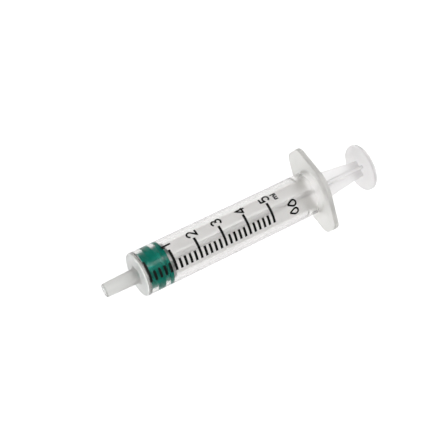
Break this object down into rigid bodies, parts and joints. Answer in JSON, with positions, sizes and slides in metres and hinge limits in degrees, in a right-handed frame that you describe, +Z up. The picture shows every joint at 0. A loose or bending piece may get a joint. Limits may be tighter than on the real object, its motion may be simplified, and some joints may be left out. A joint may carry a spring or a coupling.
{
  "type": "oral syringe",
  "caption": "Clear slip-tip dosing syringe with a printed scale, two-winged finger flange, teal rubber stopper and cross-ribbed plunger that slides and turns.",
  "frame": {"origin": "on the surface that the flange rests on, under the middle of the syringe's overall length with the plunger pushed in", "axes": "+X along the barrel's axis from the tip towards the thumb press, Y along the flange's wings, +Z up through the printed scale"},
  "size_m": [0.0956, 0.0284, 0.0196],
  "materials": {
    "clear_barrel": "clear injection-moulded polypropylene, smooth and slightly hazy",
    "stopper_rubber": "teal moulded rubber, satin from its silicone oil",
    "milky_rod": "translucent injection-moulded polypropylene, satin",
    "scale_ink": "black printed ink"
  },
  "bodies": {
    "barrel": {"barrel": "clear_barrel"},
    "stopper": {"stopper": "stopper_rubber"},
    "plunger_rod": {"plunger_rod": "milky_rod"}
  },
  "joints": [
    {"name": "plunger_slide", "type": "slide", "parent": "barrel", "child": "stopper", "axis": [1, 0, 0], "range_m": [0, 0.0484]},
    {"name": "rod_turn", "type": "hinge", "parent": "stopper", "child": "plunger_rod", "pos_m": [-0.03, 0, 0.0098], "axis": [1, 0, 0], "continuous": true}
  ]
}
